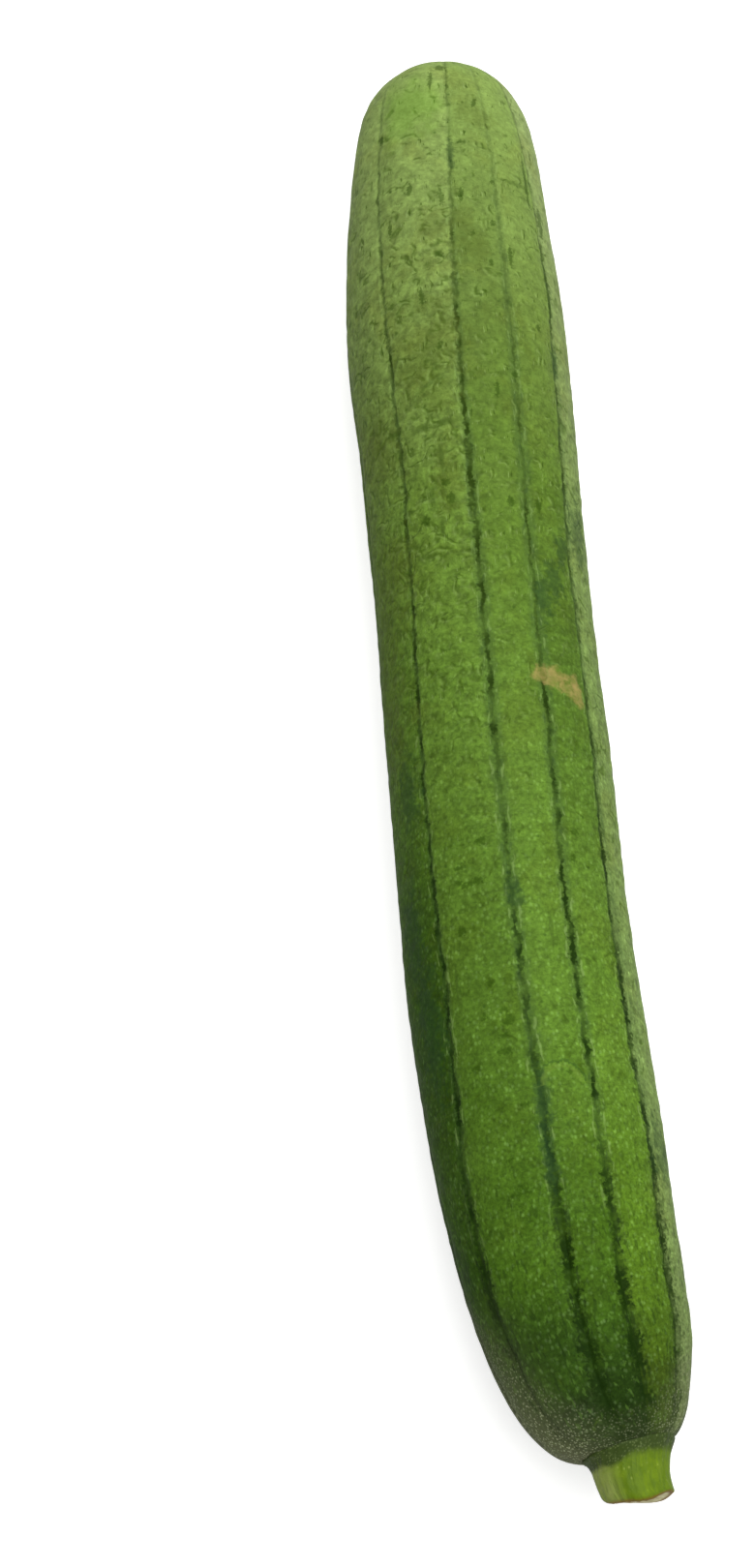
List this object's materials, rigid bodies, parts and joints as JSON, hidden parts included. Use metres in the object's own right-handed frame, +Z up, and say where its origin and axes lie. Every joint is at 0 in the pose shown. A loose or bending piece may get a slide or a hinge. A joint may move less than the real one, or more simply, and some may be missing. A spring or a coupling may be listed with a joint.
{
  "type": "sponge gourd",
  "caption": "Long smooth sponge gourd lying on its side: a slightly bent green fruit with lengthwise furrows and a short cut stalk.",
  "frame": {"origin": "on the table, under the middle of the whole gourd's bounding box", "axes": "+Z up, +Y along the fruit from the cut stalk to the blossom end, +X across it"},
  "size_m": [0.0544, 0.3656, 0.0529],
  "materials": {
    "fruit_skin": "satin",
    "stalk_skin": "matte"
  },
  "bodies": {
    "root": {"fruit": "fruit_skin", "stalk": "stalk_skin"}
  },
  "joints": []
}
